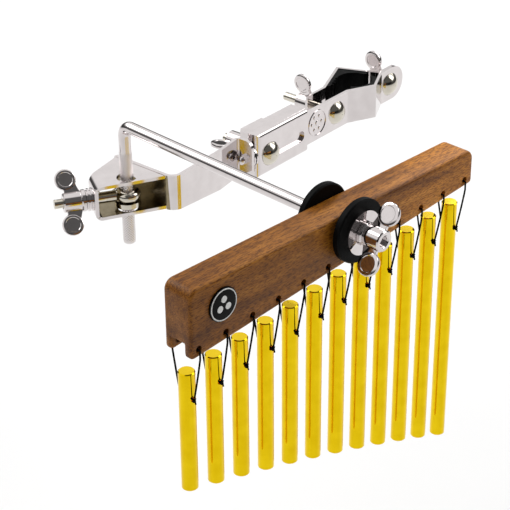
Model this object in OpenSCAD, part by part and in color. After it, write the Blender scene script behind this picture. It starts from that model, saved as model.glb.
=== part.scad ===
// Twelve bar chimes on a tapered wooden beam, with the L-rod and clamp that hold them.
// Origin: axis of the stand pole at mid height of the clamp. +Z up, millimetres.

/* [Beam] */
// Length of the wooden beam
beam_length = 232; // [200:1:300]
// Front to back depth of the beam
beam_depth = 20.5; // [16:0.5:30]
// Height of the beam's top above the middle of the hole row
beam_top = 27.3; // [20:0.1:40]
// Slope of the beam's bottom edge and hole row in degrees
taper = 4.8; // [0:0.1:10]
// Wood left under the cord holes
edge_under_holes = 4.8; // [3:0.1:10]
// Beam's middle, measured from the middle of the hole row
beam_shift = 1; // [-5:0.5:5]
// Diameter of the cord holes
cord_hole_d = 4.2; // [2:0.1:6]
// Width of the groove under the beam
groove_w = 9.5; // [5:0.5:12]
// Thickness of the front leg beside the groove
front_leg = 6; // [4:0.5:10]
// Depth of the groove
groove_depth = 8; // [5:0.5:12]

/* [Bars] */
// Distance between cord holes along the row
bar_pitch = 20; // [16:0.5:30]
// Bar diameter
bar_d = 9.5; // [6:0.1:12]
// Length of the shortest bar
first_bar = 77; // [50:1:120]
// How much longer the second bar is than the first
bar_step = 7.3; // [2:0.1:15]
// How much this step grows from each bar to the next
step_growth = 0.24; // [0:0.01:1]
// Drop from the beam hole to the bar's cross hole
cord_drop = 34.3; // [20:0.1:60]
// Bar above its cross hole
bar_above_hole = 16.4; // [6:0.1:25]
// Cross hole through each bar
bar_hole_d = 3; // [2:0.1:4]
// Cord diameter
cord_d = 1.1; // [0.8:0.1:2]

/* [Beam pivot] */
// Pivot position along the beam from the middle of the hole row
pivot_x = 9.2; // [-20:0.5:20]
// Pivot height above the middle of the hole row
pivot_z = 16.7; // [10:0.1:30]
// Rubber disc diameter
rubber_d = 38.4; // [25:0.1:45]
// Rubber disc thickness
rubber_t = 7; // [4:0.5:10]

/* [Rod] */
// Rod diameter
rod_d = 8; // [6:0.5:12]
// Threaded stub diameter
stub_d = 6; // [5:0.5:10]
// Middle of the beam to the rod's upright leg
rod_reach = 182; // [120:1:260]
// Rod's upright leg, from the level leg's axis to its lower end
rod_drop = 84; // [60:1:120]
// Eye bolt to the rod's level leg
rod_rise = 48.7; // [35:0.1:60]
// Centreline radius of the bend
rod_bend = 7; // [6:0.5:20]

/* [Clamp] */
// Rod to pole along the arm
reach = 215; // [180:1:260]
// Rod behind the pole's axis
setback = 20; // [0:1:40]
// Turn of the clamp about the upright
clamp_turn = 5; // [-20:1:20]
// Pole diameter
pole_d = 25.4; // [19:0.1:32]
// Jaw half height
jaw_half = 12.4; // [10:0.1:18]
// Arm half height
arm_half = 16; // [12:0.5:20]
// Bolt diameter
bolt_d = 6; // [5:0.5:8]

/* [Hidden] */
$fn = 64;
fit = 0.05;
gap = 0.1;
half_depth = beam_depth / 2;
beam_left = beam_shift - beam_length / 2;
beam_right = beam_shift + beam_length / 2;
rod_x = -reach * cos(clamp_turn) - setback * sin(clamp_turn);
rod_y = -reach * sin(clamp_turn) + setback * cos(clamp_turn);
flange_t = 2.2;
rear_washer_t = 1.5;
nut_h = 14.6;
nut_d = 12.8;
collar_d = 14.4;
collar_h = 3;
wing_t = 3;
wing_r = 7;
wing_at = 14.8;
wing_lift = 10.6;
rod_shoulder = half_depth + rubber_t + rear_washer_t + 2 * fit;
sheet = 2.5;
box_half = 12.25;
nose = 23.1;
eye_turn = 147;
web_end = 85;
web_join = 62;
web_half = 14;
hinge_v = -26;
hinge_half_gap = 2.1;
hinge_u = web_end + sheet + hinge_half_gap;
hinge_d = 5;
hinge_bore = hinge_d + 0.4;
tooth_disc_d = 15;
tooth_disc_t = 2;
tooth_count = 20;
tooth = 0.55;
arm_front = -32;
arm_back = -17.5;
arm_left = hinge_u + hinge_half_gap;
arm_sheet = 2;
arm_corner = 4.5;
arm_right = 146;
jaw_face = -30 + gap;
jaw_sheet = 2;
slot_u = 106;
slot_w = -1.9;
slot_left = 102;
slot_right = 138.6;
slot_d = bolt_d + 2;
jaw_left = 97;
jaw_bolt_u = 182;
end_bolt_u = 245.4;
front_slope = 26;
rear_slope = 22.5;
end_round_u = 249;
pole_u = reach;
pole_v = -setback;
rear_face = -13;
pad_gap = 15.8;
head_d = 16.8;
head_h = 5;
cord_side = half_depth + cord_d / 2 + 0.3;
cord_tuck = edge_under_holes + 1.4;
knot_d = 2.6;

function hole_x(n) = (n - 6.5) * bar_pitch * cos(taper);
function hole_z(n) = hole_x(n) * tan(taper);
function under(x) = x * tan(taper) - edge_under_holes;
function bar_length(n) = first_bar + (n - 1) * bar_step + (n - 1) * (n - 2) / 2 * step_growth;
function arc(c, r, from, to, steps = 10) =
    [for (k = [0:steps]) c + r * [cos(from + (to - from) * k / steps), sin(from + (to - from) * k / steps)]];

// ---------- frames ----------
module at_beam() {
    translate([rod_x - pivot_x, rod_y - rod_reach, rod_rise - pivot_z]) children();
}

module at_pivot() {
    at_beam() translate([pivot_x, 0, pivot_z]) children();
}

module at_clamp() {
    rotate([0, 0, clamp_turn]) translate([-reach, setback, 0]) children();
}

// Local +Z points to the front, away from the beam
module facing_front(y) {
    translate([0, y, 0]) rotate([90, 0, 0]) children();
}

// Local +Z points to the back
module facing_back(y) {
    translate([0, y, 0]) rotate([-90, 0, 0]) children();
}

// Local +Z points out along the eye bolt
module along_eye() {
    at_clamp() rotate([0, 0, eye_turn]) rotate([0, 90, 0]) children();
}

// Local +Z points along the toothed joint's axis, towards the arm
module along_hinge() {
    translate([hinge_u, hinge_v, 0]) rotate([0, 90, 0]) children();
}

module ring(outer_d, inner_d, h) {
    difference() {
        cylinder(h = h, d = outer_d);
        translate([0, 0, -1]) cylinder(h = h + 2, d = inner_d);
    }
}

// ---------- beam ----------
module beam_side(r = 6) {
    corners = [[beam_left + r, beam_top - r], [beam_right - r, beam_top - r]];
    polygon([[beam_left, under(beam_left) + 1.5], [beam_left + 1.5, under(beam_left + 1.5)],
             [beam_right - 1.5, under(beam_right - 1.5)], [beam_right, under(beam_right) + 1.5],
             [beam_right, beam_top - r], [beam_right - r, beam_top],
             [beam_left + r, beam_top], [beam_left, beam_top - r]]);
    for (c = corners) translate(c) circle(r = r);
}

module beam_section(r = 2.5) {
    low = under(beam_left) - 5;
    polygon([[-half_depth, low], [half_depth, low], [half_depth, beam_top - r],
             [half_depth - r, beam_top], [r - half_depth, beam_top], [-half_depth, beam_top - r]]);
    for (s = [-1, 1]) translate([s * (half_depth - r), beam_top - r]) circle(r = r);
}

module beam() {
    color([0.62, 0.34, 0.17]) at_beam() difference() {
        intersection() {
            facing_front(half_depth) linear_extrude(beam_depth) beam_side();
            translate([beam_left - 1, 0, 0]) rotate([90, 0, 90])
                linear_extrude(beam_length + 2) beam_section();
        }
        rotate([0, -taper, 0])
            translate([-beam_length, front_leg - half_depth, -edge_under_holes - 20])
            cube([2 * beam_length, groove_w, groove_depth + 20]);
        for (n = [1:12]) translate([hole_x(n), 0, hole_z(n)])
            facing_front(half_depth + 1) cylinder(h = beam_depth + 2, d = cord_hole_d);
        translate([pivot_x, 0, pivot_z])
            facing_front(half_depth + 1) cylinder(h = beam_depth + 2, d = stub_d + 4 * fit);
    }
}

module badge() {
    color([0.04, 0.04, 0.05]) at_beam() translate([-92, 0, 11]) facing_front(-half_depth) {
        cylinder(h = 1.2, d = 20);
        translate([0, 0, 1.2]) ring(18.6, 15.8, 0.3);
    }
}

// ---------- pivot stack ----------
// A disc whose rear edge has a wide chamfer; local +Z points to its flat front
module rubber_disc() {
    rim = rubber_d / 2;
    bore = stub_d / 2 + 2 * fit;
    rotate_extrude()
        polygon([[bore, 0], [rim - 4, 0], [rim, 3], [rim, rubber_t - 0.8],
                 [rim - 0.8, rubber_t], [bore, rubber_t]]);
}

// Room in a disc for the seventh cord, which leaves its hole under the disc's edge
module cord_notch(side) {
    top = hole_z(7) + 0.9;
    at_beam() translate([hole_x(7) - 1.1, side * half_depth - 1.7, top - 10]) cube([2.2, 3.4, 10]);
}

module front_rubber_disc() {
    color([0.05, 0.05, 0.06]) difference() {
        at_pivot() facing_front(-half_depth) rubber_disc();
        cord_notch(-1);
    }
}

module rear_rubber_disc() {
    color([0.05, 0.05, 0.06]) difference() {
        at_pivot() facing_front(half_depth + rubber_t) rubber_disc();
        cord_notch(1);
    }
}

module flange_washer() {
    color([0.8, 0.8, 0.82]) at_pivot() facing_front(-half_depth - rubber_t - fit)
        ring(26.5, stub_d + 2 * fit, flange_t);
}

module rear_washer() {
    color([0.8, 0.8, 0.82]) at_pivot()
        facing_back(half_depth + rubber_t + fit) ring(13, stub_d + 2 * fit, rear_washer_t);
}

// ---------- wing nut ----------
module wing_outline(side) {
    translate([side * wing_at, wing_lift]) circle(r = wing_r);
    polygon([[0, 2], [side * (wing_at - 4.5), wing_lift - 5.6],
             [side * (wing_at + 1.6), wing_lift - 6.7], [side * wing_at, wing_lift],
             [side * (wing_at - 5), wing_lift + 4.8], [side * nut_d / 2, nut_h - 1.6],
             [0, nut_h - 1.6]]);
}

module wing_nut(turn) {
    rotate([0, 0, turn]) difference() {
        union() {
            cylinder(h = nut_h, d = nut_d);
            cylinder(h = collar_h, d = collar_d);
            for (side = [-1, 1]) rotate([90, 0, 0]) translate([0, 0, -wing_t / 2])
                linear_extrude(wing_t) wing_outline(side);
        }
        translate([0, 0, -1]) cylinder(h = nut_h + 12, d = bolt_d + 2 * fit);
        for (side = [-1, 1], face = [-1, 1])
            translate([side * wing_at, face * (wing_t / 2 + 3.4), wing_lift]) sphere(r = 6);
    }
}

module front_wing_nut() {
    color([0.8, 0.8, 0.82]) at_pivot()
        facing_front(-half_depth - rubber_t - flange_t - 3 * fit) wing_nut(57);
}

module eye_wing_nut() {
    color([0.8, 0.8, 0.82]) along_eye() translate([0, 0, nose + 4.4]) wing_nut(39);
}

module slot_wing_nut() {
    color([0.8, 0.8, 0.82]) at_clamp() translate([slot_u, 0, slot_w])
        facing_back(arm_back + 6.5 + gap) wing_nut(10);
}

module jaw_wing_nut() {
    color([0.8, 0.8, 0.82]) at_clamp() translate([jaw_bolt_u, 0, 0])
        facing_back(rear_face + jaw_sheet + gap) wing_nut(-95);
}

module end_wing_nut() {
    color([0.8, 0.8, 0.82]) at_clamp() translate([end_bolt_u, 0, 0])
        facing_back(rear_end_face() + jaw_sheet + gap) wing_nut(90);
}

// ---------- L-rod ----------
module l_rod() {
    stub_end = half_depth + rubber_t + flange_t + nut_h - 2.4;
    color([0.85, 0.85, 0.87]) at_pivot() {
        facing_back(-stub_end) cylinder(h = stub_end + rod_shoulder + 1, d = stub_d);
        facing_back(rod_shoulder) cylinder(h = rod_reach - rod_bend - rod_shoulder, d = rod_d);
        translate([0, rod_reach - rod_bend, -rod_bend]) rotate([0, -90, 0])
            rotate_extrude(angle = 90) translate([rod_bend, 0]) circle(d = rod_d);
        translate([0, rod_reach, 0.8 - rod_drop])
            cylinder(h = rod_drop - rod_bend - 0.8, d = rod_d);
        translate([0, rod_reach, -rod_drop]) cylinder(h = 0.8, d1 = rod_d - 1.6, d2 = rod_d);
    }
}

// ---------- eye bolt and its bracket ----------
module eye_bolt() {
    color([0.78, 0.75, 0.68]) difference() {
        union() {
            at_clamp() rotate_extrude() intersection() {
                translate([5.05, 0]) circle(r = 3.75);
                translate([rod_d / 2 + fit, -5]) square([10, 10]);
            }
            along_eye() translate([0, 0, 7]) cylinder(h = 18, d = 7.4);
            along_eye() translate([0, 0, 24]) cylinder(h = nose + 4.4 + nut_h + 5.7 - 24, d = bolt_d);
        }
        at_clamp() translate([0, 0, -10]) cylinder(h = 20, d = rod_d + 2 * fit);
    }
}

module eye_collar() {
    color([0.7, 0.66, 0.55]) at_clamp() translate([0, 0, -7.2]) ring(17, rod_d + 2 * fit, 3.2);
}

module eye_spring_washers() {
    color([0.8, 0.8, 0.82]) along_eye() translate([0, 0, nose]) {
        ring(15, 8, 1.2);
        translate([0, 0, 1.2]) ring(12.5, 8, 1);
        translate([0, 0, 2.2]) ring(15, 8, 1.2);
        translate([0, 0, 3.4]) ring(12.5, 8, 0.9);
    }
}

module rounded_nose(end, half, r) {
    translate([-60, -half]) square([end - r + 60, 2 * half]);
    translate([end - r - 1, r - half]) square([r + 1, 2 * (half - r)]);
    for (s = [-1, 1]) translate([end - r, s * (half - r)]) circle(r = r);
}

module bracket_box() {
    intersection() {
        rotate([0, 0, eye_turn]) rotate([90, 0, 0]) translate([0, 0, -60]) linear_extrude(120)
            difference() {
                rounded_nose(nose, box_half - 0.3, 5);
                rounded_nose(nose - sheet, box_half - sheet, 2.5);
            }
        translate([0, 0, -box_half - 1]) linear_extrude(2 * box_half + 2)
            polygon([[-24.5, 5], [18.6, -18.6], [18.8, 26.2], [-14.5, 20], [-24.5, 12]]);
    }
}

// Plan of the bracket's side wall, its bend, its web and the flange of the toothed joint
function bracket_plan(slope = 8.9) =
    let (bend = [25, -17], fold = [web_end - 1, hinge_v + 3.5])
    concat([[17, 27]], arc(bend, 8, 180, 270), [[web_join, -25]], arc(fold, 1, 90 + slope, 0),
           [[web_end, hinge_v - 7.2], [web_end + sheet, hinge_v - 7.2]],
           arc(fold, 1 + sheet, 0, 90 + slope), [[web_join - 0.2, sheet - 25]],
           arc(bend, 8 - sheet, 270, 180), [[17 + sheet, 27]]);

module bracket_web() {
    intersection() {
        translate([0, 0, -20]) linear_extrude(40) polygon(bracket_plan());
        translate([0, 40, 0]) rotate([90, 0, 0]) linear_extrude(80)
            polygon([[10, -box_half], [25, -box_half], [web_join, -web_half], [95, -web_half],
                     [95, web_half], [web_join, web_half], [25, box_half], [10, box_half]]);
        rotate([90, 0, 90]) linear_extrude(100) {
            translate([hinge_v - 1.2, -20]) square([70, 40]);
            for (side = [-1, 1]) translate([hinge_v - 1.2, side * (web_half - 6)]) circle(r = 6);
            translate([hinge_v - 8, 6 - web_half]) square([8, 2 * web_half - 12]);
        }
    }
}

module bracket() {
    color([0.82, 0.82, 0.84]) at_clamp() difference() {
        union() {
            bracket_box();
            bracket_web();
        }
        translate([0, 0, -20]) cylinder(h = 40, d = 13);
        rotate([0, 0, eye_turn]) rotate([0, 90, 0]) translate([0, 0, 10])
            cylinder(h = 20, d = 8.4);
        along_hinge() translate([0, 0, -6]) cylinder(h = 12, d = hinge_bore);
    }
}

// ---------- toothed joint ----------
module tooth_disc() {
    for (k = [0:tooth_count - 1])
        rotate([0, 0, k * 360 / tooth_count])
        translate([tooth_disc_d / 2 - 0.3, 0, tooth_disc_t - tooth])
        rotate([0, -90, 0]) linear_extrude(2.6)
        polygon([[-0.1, -tooth], [tooth - 0.02, 0], [-0.1, tooth]]);
    ring(tooth_disc_d, hinge_bore, tooth_disc_t - tooth);
}

module bracket_tooth_disc() {
    color([0.8, 0.8, 0.82]) at_clamp() along_hinge()
        translate([0, 0, -tooth_disc_t - fit]) tooth_disc();
}

module arm_tooth_disc() {
    color([0.8, 0.8, 0.82]) at_clamp() along_hinge() translate([0, 0, tooth_disc_t + fit])
        rotate([180, 0, 0]) tooth_disc();
}

module hinge_bolt() {
    flange = hinge_half_gap + arm_sheet + fit;
    color([0.8, 0.8, 0.82]) at_clamp() along_hinge() {
        translate([0, 0, flange]) cylinder(h = 1.2, d = 7.6);
        translate([0, 0, flange + 1.2]) cylinder(h = 0.6, d1 = 7.6, d2 = 6.4);
        translate([0, 0, -7.2]) cylinder(h = 7.2 + flange + 0.5, d = hinge_d);
    }
}

module hinge_nut() {
    color([0.8, 0.8, 0.82]) at_clamp() along_hinge()
        translate([0, 0, -hinge_half_gap - sheet - fit]) rotate([180, 0, 0]) difference() {
            union() {
                cylinder(h = 2.4, d = 7.2, $fn = 6);
                translate([0, 0, 2]) sphere(r = 3.2);
            }
            translate([0, 0, -3]) cylinder(h = 5.55, d = hinge_d);
        }
}

// ---------- slotted arm ----------
// Section of the arm's outside, across its length
module arm_section(r = 3) {
    depth = arm_back - arm_front;
    translate([0, -arm_half + r]) square([depth, 2 * (arm_half - r)]);
    translate([r, -arm_half]) square([depth - r, 2 * arm_half]);
    for (s = [-1, 1]) translate([r, s * (arm_half - r)]) circle(r = r);
}

// Plan of the arm's outside, round where the front turns into the end wall
function arm_plan() =
    concat(arc([arm_left + arm_corner, arm_front + arm_corner], arm_corner, 180, 270),
           [[arm_right, arm_front], [arm_right, arm_back], [arm_left, arm_back]]);

module arm() {
    color([0.82, 0.82, 0.84]) at_clamp() difference() {
        intersection() {
            translate([arm_left - 1, arm_front, 0]) rotate([90, 0, 90])
                linear_extrude(arm_right - arm_left + 2) arm_section();
            translate([0, 0, -20]) linear_extrude(40) polygon(arm_plan());
        }
        translate([arm_left + arm_sheet, arm_front + arm_sheet, arm_sheet - arm_half])
            cube([arm_right, 30, 2 * (arm_half - arm_sheet)]);
        along_hinge() cylinder(h = 6, d = hinge_bore);
        for (u = [slot_left, slot_right]) translate([u, 0, slot_w]) facing_back(arm_front - 1)
            cylinder(h = 4, d = slot_d);
        translate([slot_left, arm_front - 1, slot_w - slot_d / 2])
            cube([slot_right - slot_left, 4, slot_d]);
    }
}

// ---------- bolts ----------
module dome_bolt(length) {
    cap_r = (head_d * head_d / 4 + head_h * head_h) / (2 * head_h);
    intersection() {
        translate([0, 0, cap_r - head_h]) sphere(r = cap_r);
        translate([0, 0, -head_h]) cylinder(h = head_h, d = head_d + 1);
    }
    translate([0, 0, -0.5]) cylinder(h = length + 0.5, d = bolt_d);
}

module slot_bolt() {
    color([0.8, 0.8, 0.82]) at_clamp() translate([slot_u, 0, slot_w])
        facing_back(arm_front - gap) dome_bolt(40);
}

module jaw_bolt() {
    color([0.8, 0.8, 0.82]) at_clamp() translate([jaw_bolt_u, 0, 0])
        facing_back(jaw_face) dome_bolt(46);
}

module end_bolt() {
    color([0.8, 0.8, 0.82]) at_clamp() translate([end_bolt_u, 0, 0])
        facing_back(jaw_face) dome_bolt(28);
}

module slot_clamp_plate() {
    color([0.8, 0.8, 0.82]) at_clamp() translate([slot_u, 0, slot_w])
        facing_back(arm_back + gap) difference() {
            union() {
                translate([-11, slot_w - arm_half + 0.5, 0]) cube([22, 2 * arm_half - 1, 2.5]);
                cylinder(h = 6.5, d = 13);
            }
            translate([0, 0, -1]) cylinder(h = 10, d = bolt_d);
        }
}

// ---------- jaws ----------
// Where one face of a sheet bends when the other face follows the points, t away from it
function miter(points, k, t) =
    let (last = len(points) - 1,
         before = points[max(k, 1)] - points[max(k, 1) - 1],
         after = points[min(k, last - 1) + 1] - points[min(k, last - 1)],
         n1 = [-before[1], before[0]] / norm(before),
         n2 = [-after[1], after[0]] / norm(after))
    points[k] + t * (n1 + n2) / (1 + n1 * n2);

// A bent sheet whose one face follows the points
module strip(points, t, half) {
    last = len(points) - 1;
    translate([0, 0, -half]) linear_extrude(2 * half)
        polygon(concat(points, [for (k = [last:-1:0]) miter(points, k, t)]));
}

// Inside faces of the front vee, from its left end to its right end
function front_vee() = let (d = pad_gap, deep = d / cos(front_slope), base = jaw_face + jaw_sheet,
        run = (pole_v - deep - base) / -tan(front_slope))
    [[jaw_left, base], [pole_u - run, base], [pole_u, pole_v - deep],
     [pole_u + run, base], [end_round_u, base]];

function rear_end_face() = jaw_face + jaw_sheet + 0.4;

// Inside faces of the rear vee
function rear_vee() = let (apex = [pole_u + pad_gap * sqrt(2) * cos(67.5),
                                   pole_v + pad_gap * sqrt(2) * sin(67.5)],
        left_run = (apex[1] - rear_face) / tan(rear_slope),
        right_run = (apex[1] - rear_end_face()) * tan(rear_slope))
    [[170, rear_face], [apex[0] - left_run, rear_face], apex,
     [apex[0] + right_run, rear_end_face()], [end_round_u + 4, rear_end_face()]];

module front_jaw() {
    points = front_vee();
    color([0.82, 0.82, 0.84]) at_clamp() difference() {
        union() {
            strip(points, -jaw_sheet, jaw_half);
            translate([end_round_u, 0, 0]) facing_back(jaw_face)
                cylinder(h = jaw_sheet, r = jaw_half);
        }
        for (u = [jaw_bolt_u, end_bolt_u]) translate([u, 0, 0]) facing_back(jaw_face - 5)
            cylinder(h = 12, d = bolt_d);
        translate([slot_u, 0, slot_w]) facing_back(jaw_face - 5) cylinder(h = 12, d = bolt_d);
    }
}

module jaw_medallion() {
    color([0.78, 0.78, 0.8]) at_clamp() translate([160, 0, 0.3]) facing_front(jaw_face) {
        ring(19.6, 17.8, 0.5);
        for (k = [0:5]) rotate([0, 0, 60 * k]) translate([5.4, 0, 0]) cylinder(h = 0.4, d = 3.2);
        cylinder(h = 0.4, d = 4);
    }
}

module rear_jaw() {
    points = rear_vee();
    color([0.82, 0.82, 0.84]) at_clamp() difference() {
        strip(points, jaw_sheet, jaw_half - 0.7);
        for (u = [jaw_bolt_u, end_bolt_u]) translate([u, 0, 0]) facing_back(-40)
            cylinder(h = 60, d = bolt_d + 0.6);
    }
}

module pole_room() {
    translate([pole_u, pole_v, -30]) cylinder(h = 60, d = pole_d);
}

module front_pad() {
    p = front_vee();
    half = jaw_half - 0.8;
    drop = 13 * tan(front_slope);
    color([0.04, 0.04, 0.05]) at_clamp() difference() {
        translate([0, 0, -half]) linear_extrude(2 * half)
            polygon([p[2], p[2] + [13, drop], p[2] + [13, drop + 5],
                     p[2] + [-13, drop + 5], p[2] + [-13, drop]]);
        pole_room();
    }
}

module rear_pad() {
    apex = rear_vee()[2];
    left = [-cos(rear_slope), -sin(rear_slope)];
    right = [sin(rear_slope), -cos(rear_slope)];
    half = jaw_half - 1.2;
    color([0.04, 0.04, 0.05]) at_clamp() difference() {
        translate([0, 0, -half]) linear_extrude(2 * half)
            polygon([apex, apex + 31 * left, apex + 31 * left + 3 * right,
                     apex + 15 * left + 6 * right, apex + 6 * left + 15 * right,
                     apex + 22 * right + 3 * left, apex + 22 * right]);
        pole_room();
        for (k = [0:3]) translate([0, 0, -half - 1])
            translate(apex + (17.6 + 4 * k) * left + 3.6 * right) cylinder(h = 2 * half + 2, r = 1.7);
    }
}

// ---------- chimes ----------
module chime(n) {
    top = hole_z(n) - cord_drop + bar_above_hole;
    length = bar_length(n);
    color([0.86, 0.68, 0.28]) at_beam() translate([hole_x(n), 0, top - length]) difference() {
        union() {
            translate([0, 0, 0.5]) cylinder(h = length - 1, d = bar_d);
            cylinder(h = 0.5, d1 = bar_d - 1, d2 = bar_d);
            translate([0, 0, length - 0.5]) cylinder(h = 0.5, d1 = bar_d, d2 = bar_d - 1);
        }
        translate([0, 0, length - bar_above_hole]) facing_front(bar_d)
            cylinder(h = 2 * bar_d, d = bar_hole_d);
    }
}

// A length of cord between two points of the plane across the beam
module strand(a, b) {
    step = b - a;
    translate([0, a[0], a[1]]) rotate([-atan2(step[0], step[1]), 0, 0])
        cylinder(h = norm(step), d = cord_d, $fn = 24);
}

module cord(n) {
    knot_y = bar_d / 2 + knot_d / 2;
    loop = [[-cord_side, 0], [-cord_side, -cord_tuck], [-knot_y, -cord_drop],
            [knot_y, -cord_drop], [cord_side, -cord_tuck], [cord_side, 0]];
    color([0.05, 0.05, 0.05]) at_beam() translate([hole_x(n), 0, hole_z(n)]) {
        for (k = [0:5]) {
            strand(loop[k], loop[(k + 1) % 6]);
            translate([0, loop[k][0], loop[k][1]])
                sphere(d = (k == 2 || k == 3) ? knot_d : cord_d * 1.06, $fn = 24);
        }
    }
}

beam();
badge();
front_rubber_disc();
rear_rubber_disc();
flange_washer();
rear_washer();
front_wing_nut();
l_rod();
eye_collar();
eye_bolt();
bracket();
eye_spring_washers();
eye_wing_nut();
bracket_tooth_disc();
hinge_bolt();
hinge_nut();
arm();
arm_tooth_disc();
slot_bolt();
slot_clamp_plate();
slot_wing_nut();
front_jaw();
jaw_medallion();
front_pad();
jaw_bolt();
end_bolt();
rear_jaw();
rear_pad();
jaw_wing_nut();
end_wing_nut();
chime(1);  // chime_01
chime(2);  // chime_02
chime(3);  // chime_03
chime(4);  // chime_04
chime(5);  // chime_05
chime(6);  // chime_06
chime(7);  // chime_07
chime(8);  // chime_08
chime(9);  // chime_09
chime(10);  // chime_10
chime(11);  // chime_11
chime(12);  // chime_12
cord(1);  // cord_01
cord(2);  // cord_02
cord(3);  // cord_03
cord(4);  // cord_04
cord(5);  // cord_05
cord(6);  // cord_06
cord(7);  // cord_07
cord(8);  // cord_08
cord(9);  // cord_09
cord(10);  // cord_10
cord(11);  // cord_11
cord(12);  // cord_12
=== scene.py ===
import math
import bmesh
import bpy
from mathutils import Matrix, Vector

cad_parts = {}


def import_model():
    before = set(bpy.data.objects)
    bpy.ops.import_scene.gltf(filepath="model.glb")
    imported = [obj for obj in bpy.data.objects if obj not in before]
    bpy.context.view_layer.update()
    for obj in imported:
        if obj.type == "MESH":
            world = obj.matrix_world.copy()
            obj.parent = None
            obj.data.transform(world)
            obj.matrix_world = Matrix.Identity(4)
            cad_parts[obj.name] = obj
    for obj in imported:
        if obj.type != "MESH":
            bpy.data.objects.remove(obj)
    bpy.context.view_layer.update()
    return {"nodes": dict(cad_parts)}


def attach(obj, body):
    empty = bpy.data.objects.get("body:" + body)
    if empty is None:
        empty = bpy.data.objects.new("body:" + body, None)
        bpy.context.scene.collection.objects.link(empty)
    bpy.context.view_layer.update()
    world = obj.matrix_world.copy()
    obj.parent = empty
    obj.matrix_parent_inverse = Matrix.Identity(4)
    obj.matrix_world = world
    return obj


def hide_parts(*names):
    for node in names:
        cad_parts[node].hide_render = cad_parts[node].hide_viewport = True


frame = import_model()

MM = 0.001

# Driving dimensions in millimetres, the same as the frame's
BARS = 12
PITCH = 20
TAPER = math.radians(4.8)
BEAM_DEPTH = 20.5
BEAM_LEFT, BEAM_RIGHT, BEAM_TOP = -115, 117, 27.3
EDGE_UNDER_HOLES = 4.8
FRONT_LEG, GROOVE_W, GROOVE_DEPTH = 6, 9.5, 8
CORD_HOLE_R, CORD_R, CORD_DROP = 2.1, 0.55, 34.3
BAR_R = 4.75
PIVOT_X, PIVOT_Z = 9.2, 16.7
RUBBER_T, FLANGE_T = 7, 2.2
BADGE_X, BADGE_Z = -92, 11
ROD_R, STUB_R, BOLT_R = 4, 3, 3
ROD_REACH, ROD_RISE, ROD_DROP = 182, 48.7, 84
KNURL_TOP = 18
REACH, SETBACK, CLAMP_TURN = 215, 20, math.radians(5)
EYE_TURN, NOSE = math.radians(147), 23.1
BOX_INSIDE, BOX_WALL, WALL_U = 9.8, 2.2, 17.6
NUT_R, NUT_H, COLLAR_R, COLLAR_H = 6.4, 14.6, 7.2, 3
EYE_NUT_SEAT = NOSE + 4.4
JAW_BACK, JAW_END_BACK = -10.9, -25.4
WING_AT, WING_R, WING_T, WING_LIFT = 14.8, 7, 3, 10.6
SLOT_U, SLOT_W, JAW_BOLT_U, END_BOLT_U = 106, -1.9, 182, 245.4
HALF_DEPTH = BEAM_DEPTH / 2
STACK = HALF_DEPTH + RUBBER_T + FLANGE_T
ROD_X = -REACH * math.cos(CLAMP_TURN) - SETBACK * math.sin(CLAMP_TURN)
ROD_Y = -REACH * math.sin(CLAMP_TURN) + SETBACK * math.cos(CLAMP_TURN)
BEAM_ORIGIN = Vector((ROD_X - PIVOT_X, ROD_Y - ROD_REACH, ROD_RISE - PIVOT_Z))

AT_BEAM = Matrix.Translation(BEAM_ORIGIN)
AT_PIVOT = AT_BEAM @ Matrix.Translation((PIVOT_X, 0, PIVOT_Z))
AT_CLAMP = Matrix.Rotation(CLAMP_TURN, 4, "Z") @ Matrix.Translation((-REACH, SETBACK, 0))
FACE_FRONT = Matrix.Rotation(math.pi / 2, 4, "X")
FACE_BACK = Matrix.Rotation(-math.pi / 2, 4, "X")
ALONG_EYE = AT_CLAMP @ Matrix.Rotation(EYE_TURN, 4, "Z") @ Matrix.Rotation(math.pi / 2, 4, "Y")


def shift(x, y, z):
    return Matrix.Translation((x, y, z))


def hole(n):
    """Place of the beam's n-th cord hole in the beam's own frame."""
    x = (n - (BARS + 1) / 2) * PITCH * math.cos(TAPER)
    return x, x * math.tan(TAPER)


# ---------- camera ----------
def make_camera():
    """Looks at the chimes from the front left and above."""
    yaw, pitch, roll = math.radians(44.97), math.radians(29.68), math.radians(-0.5)
    ahead = Vector((math.sin(yaw) * math.cos(pitch), math.cos(yaw) * math.cos(pitch), -math.sin(pitch)))
    right = Vector((math.cos(yaw), -math.sin(yaw), 0))
    up = right.cross(ahead)
    right, up = (right * math.cos(roll) + up * math.sin(roll),
                 up * math.cos(roll) - right * math.sin(roll))
    data = bpy.data.cameras.new("camera")
    data.sensor_width = 36
    data.lens = 120.1
    data.clip_start = 0.05
    camera = bpy.data.objects.new("camera", data)
    turn = Matrix((right, up, -ahead)).transposed().to_4x4()
    place = (BEAM_ORIGIN + Vector((-617.6, -560.9, 474.0))) * MM
    camera.matrix_world = Matrix.Translation(place) @ turn
    bpy.context.scene.collection.objects.link(camera)
    bpy.context.scene.camera = camera


make_camera()


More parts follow.
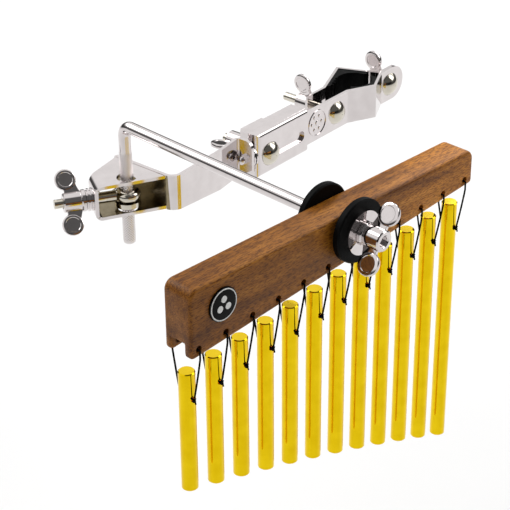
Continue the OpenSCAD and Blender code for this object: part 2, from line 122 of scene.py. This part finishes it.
# ---------- materials ----------
class Nodes:
    """A material's node tree, with short calls for the nodes that this scene uses."""

    def __init__(self, name):
        self.material = bpy.data.materials.new(name)
        self.material.use_nodes = True
        self.tree = self.material.node_tree
        self.shader = self.tree.nodes["Principled BSDF"]
        self.place = self.add("ShaderNodeTexCoord").outputs["Object"]

    def add(self, kind, inputs=None, **settings):
        node = self.tree.nodes.new(kind)
        for key, value in settings.items():
            setattr(node, key, value)
        for key, value in (inputs or {}).items():
            self.feed(node.inputs[key], value)
        return node

    def feed(self, socket, value):
        if isinstance(value, bpy.types.NodeSocket):
            self.tree.links.new(value, socket)
        else:
            socket.default_value = value

    def set(self, **values):
        for key, value in values.items():
            self.feed(self.shader.inputs[key.replace("_", " ")], value)

    def stretched(self, scale):
        """The object's own coordinates, finer where the scale is larger."""
        return self.add("ShaderNodeMapping", {"Vector": self.place, "Scale": scale}).outputs["Vector"]

    def noise(self, vector, scale, detail=4, roughness=0.5):
        return self.add("ShaderNodeTexNoise", {"Vector": vector, "Scale": scale, "Detail": detail,
                                               "Roughness": roughness}).outputs["Fac"]

    def ramp(self, factor, stops):
        node = self.add("ShaderNodeValToRGB", {"Fac": factor})
        bands = node.color_ramp.elements
        while len(bands) < len(stops):
            bands.new(0.5)
        for band, (at, colour) in zip(bands, stops):
            band.position = at
            band.color = (*colour, 1)
        return node.outputs["Color"]

    def span(self, factor, low, high):
        node = self.add("ShaderNodeMapRange", {"Value": factor, "To Min": low, "To Max": high})
        return node.outputs["Result"]

    def along_beam(self, start, end):
        """From 0 to 1 between two places on the X axis."""
        x = self.add("ShaderNodeSeparateXYZ", {"Vector": self.place}).outputs["X"]
        node = self.add("ShaderNodeMapRange", {"Value": x, "From Min": start, "From Max": end})
        return node.outputs["Result"]

    def multiply(self, a, b):
        node = self.add("ShaderNodeMix", {0: 1.0, 6: a, 7: b}, data_type="RGBA", blend_type="MULTIPLY")
        return node.outputs[2]

    def bump(self, height, strength, distance):
        node = self.add("ShaderNodeBump", {"Height": height, "Strength": strength, "Distance": distance})
        self.set(Normal=node.outputs["Normal"])


def metal(name, dull, bright, rough_low, rough_high, lines=(400, 400, 400)):
    """Bright metal with a faint cloudy change in colour and polish, and fine drawn lines."""
    n = Nodes(name)
    cloud = n.noise(n.place, 120, 3)
    n.set(Base_Color=n.ramp(cloud, [(0.3, dull), (0.7, bright)]), Metallic=1.0,
          Roughness=n.span(cloud, rough_low, rough_high))
    n.bump(n.noise(n.stretched(lines), 2, 2), 0.03, 0.0001)
    return n.material


def wood():
    """Open-pored brown wood: long streaks, soft cross ripples, short fine pores and pale flecks.

    A painted shade darkens the wood at the beam's left end and fades out towards its right end, where
    more light falls.
    """
    n = Nodes("oiled_wood")
    figure = n.noise(n.stretched((7, 70, 70)), 1.6, 6, 0.62)
    ripple = n.noise(n.stretched((110, 30, 30)), 1, 3, 0.5)
    pores = n.noise(n.stretched((230, 1300, 1300)), 1.2, 2, 0.6)
    flecks = n.noise(n.stretched((420, 2000, 2000)), 1, 1, 0.5)
    bands = n.ramp(figure, [(0.32, (0.3, 0.1, 0.006)), (0.5, (0.68, 0.26, 0.022)),
                            (0.7, (0.98, 0.42, 0.06))])
    # painted shade: the beam's left end is made darker, as if less light reached it, fading out towards
    # the right end
    painted_left_end_shade = n.ramp(n.along_beam(-0.34, -0.1),
                   [(0.0, (0.48, 0.45, 0.4)), (0.5, (0.58, 0.56, 0.52)), (0.9, (1, 1, 1))])
    waves = n.ramp(ripple, [(0.32, (0.8, 0.78, 0.75)), (0.66, (1, 1, 1))])
    dark = n.ramp(pores, [(0.38, (0.42, 0.36, 0.3)), (0.54, (1, 1, 1))])
    light = n.ramp(flecks, [(0.45, (0.85, 0.82, 0.78)), (0.75, (1, 1, 1))])
    n.set(Base_Color=n.multiply(n.multiply(n.multiply(bands, painted_left_end_shade), waves), n.multiply(dark, light)),
          Roughness=n.span(pores, 0.5, 0.36), Specular_IOR_Level=0.22)
    n.bump(pores, 0.35, 0.0002)
    return n.material


def soft_black(name, rough, scale, strength):
    """Near-black matt material with a fine grain."""
    n = Nodes(name)
    cloud = n.noise(n.place, scale, 4)
    n.set(Base_Color=n.ramp(cloud, [(0.3, (0.001, 0.001, 0.001)), (0.7, (0.004, 0.004, 0.004))]),
          Roughness=n.span(cloud, rough - 0.08, rough + 0.08), Specular_IOR_Level=0.06)
    n.bump(cloud, strength, 0.0003)
    return n.material


def pale_enamel():
    n = Nodes("badge_pale")
    cloud = n.noise(n.place, 400, 2)
    n.set(Base_Color=n.ramp(cloud, [(0.3, (0.72, 0.72, 0.7)), (0.7, (0.8, 0.8, 0.78))]),
          Roughness=n.span(cloud, 0.2, 0.3))
    return n.material


WOOD = wood()
GOLD = metal("gold_anodised", (0.8, 0.54, 0.004), (0.88, 0.62, 0.008), 0.05, 0.09, (900, 900, 8))
CHROME = metal("chrome", (0.65, 0.605, 0.6), (0.71, 0.665, 0.66), 0.04, 0.08)
WARM_CHROME = metal("nickel", (0.58, 0.54, 0.46), (0.66, 0.62, 0.54), 0.07, 0.12)
DULL_METAL = metal("unpolished", (0.2, 0.16, 0.09), (0.32, 0.27, 0.18), 0.15, 0.3)
RUBBER = soft_black("rubber", 0.5, 500, 0.25)
CORD = soft_black("cord_black", 0.75, 2500, 0.6)
BADGE = soft_black("badge_black", 0.2, 200, 0.02)
PALE = pale_enamel()


# ---------- mesh helpers ----------
def show(mesh, name, material, body, replaced=()):
    """Puts a mesh in the scene as a piece that moves with a body and stands in for its nodes."""
    mesh.materials.append(material)
    thing = bpy.data.objects.new(name, mesh)
    bpy.context.scene.collection.objects.link(thing)
    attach(thing, body)
    if replaced:
        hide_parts(*replaced)
    return thing


def to_mesh(bm, name, smooth=35):
    """Turns millimetres into metres and gives the faces smooth shading with sharp creases."""
    bmesh.ops.transform(bm, matrix=Matrix.Scale(MM, 4), verts=bm.verts)
    bmesh.ops.recalc_face_normals(bm, faces=bm.faces)
    mesh = bpy.data.meshes.new(name)
    bm.to_mesh(mesh)
    bm.free()
    mesh.shade_smooth()
    mesh.set_sharp_from_angle(angle=math.radians(smooth))
    return mesh


def lathe(bm, profile, place, sides=48):
    """Turns a closed profile of (radius, height) points about the local Z axis."""
    rings = []
    for radius, height in profile:
        if radius == 0:
            rings.append([bm.verts.new(place @ Vector((0, 0, height)))])
            continue
        rings.append([bm.verts.new(place @ Vector((radius * math.cos(a), radius * math.sin(a), height)))
                      for a in (math.tau * k / sides for k in range(sides))])
    for low, high in zip(rings, rings[1:]):
        join_rings(bm, low, high)
    if len(rings[0]) > 1 and len(rings[-1]) > 1:
        join_rings(bm, rings[-1], rings[0])


def join_rings(bm, low, high):
    """Faces between two rings; either may be a single point."""
    sides = max(len(low), len(high))
    for k in range(sides):
        corners = [low[k % len(low)], low[(k + 1) % len(low)],
                   high[(k + 1) % len(high)], high[k % len(high)]]
        corners = list(dict.fromkeys(corners))
        if len(corners) > 2:
            bm.faces.new(corners)


def sheet_of(bm, outline, thick, place):
    """A flat plate of the given outline in the local XZ plane, centred on it."""
    front = [bm.verts.new(place @ Vector((x, -thick / 2, z))) for x, z in outline]
    back = [bm.verts.new(place @ Vector((x, thick / 2, z))) for x, z in outline]
    bm.faces.new(front)
    bm.faces.new(back[::-1])
    for k in range(len(outline)):
        m = (k + 1) % len(outline)
        bm.faces.new((front[k], front[m], back[m], back[k]))


def arc(cx, cz, r, start, end, steps=8):
    """Points of an arc, with its angles in degrees."""
    turns = [math.radians(start + (end - start) * k / steps) for k in range(steps + 1)]
    return [(cx + r * math.cos(t), cz + r * math.sin(t)) for t in turns]


def cut(thing, cutters):
    """Takes the cutters out of the thing and keeps the result as its own mesh."""
    for cutter in cutters:
        step = thing.modifiers.new("cut", "BOOLEAN")
        step.operation = "DIFFERENCE"
        step.solver = "EXACT"
        step.object = cutter
    seen = thing.evaluated_get(bpy.context.evaluated_depsgraph_get())
    mesh = bpy.data.meshes.new_from_object(seen)
    for cutter in cutters:
        bpy.data.objects.remove(cutter)
    thing.modifiers.clear()
    return mesh


def loose(bm, name):
    """A helper object that no body carries; it is removed once it has been used."""
    thing = bpy.data.objects.new(name, to_mesh(bm, name))
    bpy.context.scene.collection.objects.link(thing)
    return thing


def soften(thing, width, angle=50, segments=2):
    """Rounds the edges sharper than the angle."""
    edges = thing.modifiers.new("edges", "BEVEL")
    edges.width = width * MM
    edges.segments = segments
    edges.limit_method = "ANGLE"
    edges.angle_limit = math.radians(angle)


# ---------- beam ----------
def beam_outline():
    """The beam from the front: level top with round ends, sloping bottom."""
    def under(x):
        return x * math.tan(TAPER) - EDGE_UNDER_HOLES
    top_r, low_r = 6, 2.5
    return (arc(BEAM_RIGHT - top_r, BEAM_TOP - top_r, top_r, 0, 90)
            + arc(BEAM_LEFT + top_r, BEAM_TOP - top_r, top_r, 90, 180)
            + arc(BEAM_LEFT + low_r, under(BEAM_LEFT) + low_r, low_r, 180, 272, 5)
            + arc(BEAM_RIGHT - low_r, under(BEAM_RIGHT) + low_r, low_r, 272, 360, 5))


def groove_cutter():
    """Takes the groove out along the sloping bottom."""
    bm = bmesh.new()
    slope = Matrix.Rotation(-TAPER, 4, "Y")
    top = GROOVE_DEPTH - EDGE_UNDER_HOLES
    middle = FRONT_LEG - HALF_DEPTH + GROOVE_W / 2
    sheet_of(bm, [(-150, -40), (150, -40), (150, top), (-150, top)], GROOVE_W,
             AT_BEAM @ slope @ shift(0, middle, 0))
    return loose(bm, "groove")


def cord_hole_cutter():
    """Drills every cord hole through the front and the rear leg."""
    bm = bmesh.new()
    for n in range(1, BARS + 1):
        x, z = hole(n)
        for side in (-1, 1):
            at = AT_BEAM @ shift(x, side * HALF_DEPTH, z) @ FACE_FRONT
            lathe(bm, [(0, -7), (CORD_HOLE_R, -7), (CORD_HOLE_R, -0.5), (CORD_HOLE_R, 0.5),
                       (CORD_HOLE_R, 7), (0, 7)], at, 24)
    return loose(bm, "drills")


def bore_cutter():
    """Drills the hole for the rod's thinner end."""
    bm = bmesh.new()
    bore = STUB_R + 0.1
    lathe(bm, [(0, -20), (bore, -20), (bore, 20), (0, 20)], AT_PIVOT @ FACE_FRONT, 24)
    return loose(bm, "bore")


def make_beam():
    bm = bmesh.new()
    sheet_of(bm, beam_outline(), BEAM_DEPTH, AT_BEAM)
    block = loose(bm, "beam_block")
    block.data = cut(block, [groove_cutter()])
    soften(block, 2, segments=4)
    mesh = cut(block, [cord_hole_cutter(), bore_cutter()])
    bpy.data.objects.remove(block)
    mesh.materials.clear()
    mesh.shade_smooth()
    mesh.set_sharp_from_angle(angle=math.radians(30))
    show(mesh, "beam_wood", WOOD, "beam", ["beam"])


# ---------- badge: a plain domed disc, a pale ring and three pale dots ----------
def make_badge():
    at = AT_BEAM @ shift(BADGE_X, -HALF_DEPTH, BADGE_Z) @ FACE_FRONT
    bm = bmesh.new()
    lathe(bm, [(0, 0), (10, 0), (10, 0.8), (9.6, 1.15), (9.0, 1.25), (6, 1.4), (0, 1.45)], at, 64)
    show(to_mesh(bm, "badge_disc"), "badge_disc", BADGE, "beam", ["badge"])
    bm = bmesh.new()
    lathe(bm, [(8.7, 1.2), (8.8, 1.42), (9.3, 1.42), (9.45, 1.1)], at, 64)
    for k in range(3):
        spot = at @ Matrix.Rotation(math.tau * k / 3 + math.pi / 2, 4, "Z") @ shift(3.4, 0, 0)
        lathe(bm, [(0, 1.3), (2.1, 1.3), (2.0, 1.56), (0, 1.6)], spot, 24)
    show(to_mesh(bm, "badge_marks"), "badge_marks", PALE, "beam", ())


# ---------- wing nuts ----------
def wing_outline(side):
    """A wing from the front: waisted at the hub and round at its tip."""
    tip = arc(WING_AT, WING_LIFT, WING_R - 0.6, -115, 150, 14)
    hollow = [(8.8, NUT_H - 1.4), (7.6, NUT_H - 1.9)]
    root = [(NUT_R - 1.2, NUT_H - 1.8), (NUT_R - 1.2, 2.4)]
    points = [(8.2, 3.6), *tip, *hollow, *root]
    return [(side * x, z) for x, z in points]


def make_wing_nut(name, place, turn, body):
    """Round hub on a collar, with two flat wings that end in thick dished discs."""
    place = place @ Matrix.Rotation(math.radians(turn), 4, "Z")
    bm = bmesh.new()
    bore = BOLT_R + 0.05
    lathe(bm, [(bore, 0), (COLLAR_R - 0.4, 0), (COLLAR_R, 0.4), (COLLAR_R, COLLAR_H - 0.6),
               (COLLAR_R - 0.6, COLLAR_H), (NUT_R, COLLAR_H), (NUT_R, NUT_H - 0.7),
               (NUT_R - 0.7, NUT_H), (bore + 0.8, NUT_H), (bore, NUT_H - 0.8)], place)
    for side in (-1, 1):
        sheet_of(bm, wing_outline(side), WING_T - 0.6, place)
        disc = place @ shift(side * WING_AT, 0, WING_LIFT) @ FACE_FRONT
        half = WING_T / 2
        rim = [(WING_R - 0.9, half), (WING_R - 0.2, half - 0.4), (WING_R, half - 1.0)]
        dish = [(0, half - 1.3), (1.6, half - 1.25), (3.2, half - 0.95), (4.4, half - 0.45), (4.9, half)]
        profile = dish + rim + [(r, -h) for r, h in reversed(rim)] + [(r, -h) for r, h in reversed(dish)]
        lathe(bm, profile, disc, 40)
    thing = show(to_mesh(bm, name), name, CHROME, body, [body])
    soften(thing, 0.3)


def clamp_bolt_axis(u, v, w=0):
    return AT_CLAMP @ shift(u, v, w) @ FACE_BACK


def make_wing_nuts():
    front = AT_PIVOT @ shift(0, -STACK - 0.15, 0) @ FACE_FRONT
    make_wing_nut("wing_nut_front", front, 57, "front_wing_nut")
    make_wing_nut("wing_nut_eye", ALONG_EYE @ shift(0, 0, EYE_NUT_SEAT), 39, "eye_wing_nut")
    make_wing_nut("wing_nut_slot", clamp_bolt_axis(SLOT_U, JAW_BACK, SLOT_W), 10, "slot_wing_nut")
    make_wing_nut("wing_nut_jaw", clamp_bolt_axis(JAW_BOLT_U, JAW_BACK), -95, "jaw_wing_nut")
    make_wing_nut("wing_nut_end", clamp_bolt_axis(END_BOLT_U, JAW_END_BACK), 90, "end_wing_nut")


# ---------- rod's knurl and the threads ----------
def make_surface(name, place, radius_at, length, steps, sides, material, body):
    """A tube whose radius follows radius_at(angle, height), closed at both ends."""
    bm = bmesh.new()
    rings = []
    for k in range(steps + 1):
        height = length * k / steps
        ring = []
        for m in range(sides):
            angle = math.tau * m / sides
            r = radius_at(angle, height)
            ring.append(bm.verts.new(place @ Vector((r * math.cos(angle), r * math.sin(angle), height))))
        rings.append(ring)
    for low, high in zip(rings, rings[1:]):
        join_rings(bm, low, high)
    bm.faces.new(rings[0][::-1])
    bm.faces.new(rings[-1])
    return show(to_mesh(bm, name, 80), name, material, body, ())


def wave(x):
    """A triangle wave from 0 to 1 with period 1."""
    return abs(2 * (x - math.floor(x)) - 1)


def make_knurl():
    """The crossed ridges round the rod's upright leg."""
    length = ROD_DROP - KNURL_TOP - 1
    starts, lead = 14, 1.8

    def radius(angle, height):
        around = angle / math.tau * starts
        fade = min(1, height / 1.8, (length - height) / 1.8)
        ridge = min(wave(around + height / lead), wave(around - height / lead))
        return ROD_R + 0.02 + 0.32 * ridge * max(fade, 0)

    place = AT_PIVOT @ shift(0, ROD_REACH, 1 - ROD_DROP)
    make_surface("rod_knurl", place, radius, length, 260, 176, CHROME, "rod")


def make_thread(name, place, radius, length, body):
    """One visible end of a thread, shallower towards its tip."""
    pitch = 1.0
    depth = 0.3

    def surface(angle, height):
        fade = min(1, (length - height) / 0.8)
        turn = wave(height / pitch - angle / math.tau)
        return radius + 0.02 - depth * turn * (0.4 + 0.6 * fade)

    make_surface(name, place, surface, length, int(length * 8), 32, CHROME, body)


def make_threads():
    """The thread ends that show beyond the five wing nuts."""
    stub = AT_PIVOT @ shift(0, 8 - STACK - NUT_H, 0) @ FACE_FRONT
    make_thread("thread_stub", stub, STUB_R, 5.6, "rod")
    make_thread("thread_eye", ALONG_EYE @ shift(0, 0, EYE_NUT_SEAT + NUT_H - 1), BOLT_R, 6.7, "eye_bolt")
    make_thread("thread_slot", clamp_bolt_axis(SLOT_U, 0, SLOT_W), BOLT_R, 8, "clamp_frame")
    make_thread("thread_jaw", clamp_bolt_axis(JAW_BOLT_U, 2), BOLT_R, 14, "clamp_frame")
    make_thread("thread_end", clamp_bolt_axis(END_BOLT_U, -12), BOLT_R, 10, "clamp_frame")


# ---------- cords ----------
def strand_points(a, b, sag, steps=8):
    """From a to b in the plane across the beam, bowed outward by sag in the middle."""
    points = []
    for k in range(steps):
        t = k / steps
        bow = 4 * sag * t * (1 - t)
        points.append((a[0] + (b[0] - a[0]) * t, a[1] + (b[1] - a[1]) * t + bow,
                       a[2] + (b[2] - a[2]) * t))
    return points


def knot_points(x, y, z, size):
    """A trefoil: the cord tied over itself."""
    points = []
    for k in range(36):
        t = math.tau * k / 36
        points.append((x + size * 0.36 * (math.sin(t) + 2 * math.sin(2 * t)),
                       y + size * 0.3 * math.sin(3 * t),
                       z + size * 0.36 * (math.cos(t) - 2 * math.cos(2 * t))))
    return points


def add_line(curve, points, closed, radius):
    """Adds a run of cord; radius is a share of the curve's own."""
    line = curve.splines.new("POLY")
    line.points.add(len(points) - 1)
    for spot, place in zip(line.points, points):
        spot.co = (*(Vector(place) * MM), 1)
        spot.radius = radius
    line.use_cyclic_u = closed


def make_cord(n):
    """A loop through both legs of the beam and through the bar, tied in front of the bar."""
    x, z = hole(n)
    side = HALF_DEPTH + CORD_R + 0.3
    tuck = z - EDGE_UNDER_HOLES - 1.4
    low = z - CORD_DROP
    knot_y = -BAR_R - 1.0
    out = (-1) ** n * 0.35
    corners = [(x, -side, z - 0.9), (x + 0.3 * out, -side, tuck), (x + out, knot_y, low),
               (x, 0, low), (x, BAR_R + 0.8, low), (x - out * 0.5, side, tuck), (x, side, z - 0.9),
               (x, 0, z - 0.5)]
    bows = (0, -0.2, 0, 0, 0.2, 0, 0, 0)
    loop = []
    for k, corner in enumerate(corners):
        loop += strand_points(corner, corners[(k + 1) % len(corners)], bows[k])
    curve = bpy.data.curves.new("cord", "CURVE")
    curve.dimensions = "3D"
    curve.bevel_depth = CORD_R * MM
    curve.bevel_resolution = 4
    curve.use_fill_caps = True

    def world(points):
        return [tuple(Vector(p) + BEAM_ORIGIN) for p in points]

    add_line(curve, world(loop), True, 1)
    add_line(curve, world(knot_points(x + out, knot_y - 0.1, low, 1.1)), True, 0.8)
    tail = [(x + out, knot_y - 0.3, low - 0.6), (x + out + 0.5, knot_y - 0.5, low - 1.6),
            (x + out + 0.7, knot_y - 0.5, low - 2.6)]
    add_line(curve, world(tail), False, 0.85)
    curve.materials.append(CORD)
    thing = bpy.data.objects.new(f"cord_loop_{n:02d}", curve)
    bpy.context.scene.collection.objects.link(thing)
    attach(thing, f"chime_{n:02d}")
    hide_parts(f"cord_{n:02d}")


# ---------- carried-over nodes ----------
def material_for(name):
    if name.startswith("chime"):
        return GOLD
    if "rubber" in name or "pad" in name:
        return RUBBER
    if name in ("eye_bolt", "eye_collar") or name.endswith("_bolt"):
        return WARM_CHROME
    return CHROME


def dull_inside(bracket):
    """Gives the unpolished inside of the bracket's box its own metal."""
    bracket.data.materials.append(DULL_METAL)
    to_clamp = (AT_CLAMP.inverted() @ Matrix.Scale(1 / MM, 4)) @ bracket.matrix_world
    for face in bracket.data.polygons:
        centre = to_clamp @ face.center
        out = centre.x * math.cos(EYE_TURN) + centre.y * math.sin(EYE_TURN)
        if abs(centre.z) < BOX_INSIDE and centre.x < WALL_U and out < NOSE - BOX_WALL:
            face.material_index = 1


def dress_nodes():
    for name, node in frame["nodes"].items():
        node.data.materials.clear()
        node.data.materials.append(material_for(name))
        soften(node, 0.3, 35)
    dull_inside(frame["nodes"]["bracket"])


dress_nodes()
make_beam()
make_badge()
make_wing_nuts()
make_knurl()
make_threads()
for n in range(1, BARS + 1):
    make_cord(n)


# ---------- studio ----------
def make_floor():
    half, z = 6.0, -0.32
    mesh = bpy.data.meshes.new("floor")
    corners = [(-half, -half, z), (half, -half, z), (half, half, z), (-half, half, z)]
    mesh.from_pydata(corners, [], [(0, 1, 2, 3)])
    thing = bpy.data.objects.new("floor", mesh)
    bpy.context.scene.collection.objects.link(thing)
    n = Nodes("floor_pale")
    cloud = n.noise(n.place, 3, 2)
    n.set(Base_Color=n.ramp(cloud, [(0.2, (0.88, 0.88, 0.88)), (0.8, (0.92, 0.92, 0.92))]),
          Roughness=0.9)
    mesh.materials.append(n.material)


def grade(ramp, stops):
    """Grey levels along a ramp."""
    while len(ramp.elements) < len(stops):
        ramp.elements.new(0.5)
    for band, (at, level) in zip(ramp.elements, stops):
        band.position = at
        band.color = (level, level, level, 1)


def make_world():
    """White above and behind, with a soft dark band at the horizon and a dark patch high in front."""
    bpy.context.scene.view_settings.view_transform = "Standard"
    world = bpy.data.worlds.new("studio")
    bpy.context.scene.world = world
    world.use_nodes = True
    tree = world.node_tree
    place = tree.nodes.new("ShaderNodeTexCoord")
    split = tree.nodes.new("ShaderNodeSeparateXYZ")
    height = tree.nodes.new("ShaderNodeValToRGB")
    facing = tree.nodes.new("ShaderNodeVectorMath")
    facing.operation = "DOT_PRODUCT"
    facing.inputs[1].default_value = (-0.2, -0.75, 0.63)
    patch = tree.nodes.new("ShaderNodeValToRGB")
    mix = tree.nodes.new("ShaderNodeMix")
    mix.data_type = "RGBA"
    mix.blend_type = "MULTIPLY"
    mix.inputs[0].default_value = 1
    tree.links.new(place.outputs["Generated"], split.inputs[0])
    tree.links.new(place.outputs["Generated"], facing.inputs[0])
    tree.links.new(split.outputs["Z"], height.inputs[0])
    tree.links.new(facing.outputs["Value"], patch.inputs[0])
    tree.links.new(height.outputs[0], mix.inputs[6])
    tree.links.new(patch.outputs[0], mix.inputs[7])
    tree.links.new(mix.outputs[2], tree.nodes["Background"].inputs["Color"])
    grade(height.color_ramp, [(0.0, 0.06), (0.27, 0.1), (0.42, 1.0), (1.0, 1.0)])
    grade(patch.color_ramp, [(0.0, 1.0), (0.7, 1.0), (0.84, 0.12)])


def make_lamp(name, spot, aim, size, power):
    """A square soft light at one spot, aimed at another."""
    data = bpy.data.lights.new(name, "AREA")
    data.size = size
    data.energy = power
    lamp = bpy.data.objects.new(name, data)
    lamp.location = spot
    lamp.rotation_euler = (Vector(aim) - Vector(spot)).to_track_quat("-Z", "Y").to_euler()
    bpy.context.scene.collection.objects.link(lamp)


make_floor()
make_world()
make_lamp("key", (-0.7, 1.5, 1.6), (-0.1, 0.2, -0.3), 1.2, 18)
make_lamp("back", (2.2, 0.8, 1.2), (0.9, 0.9, -0.3), 1.2, 16)
make_lamp("side", (0.9, -0.8, 1.0), (-0.1, -0.1, 0), 0.9, 6)
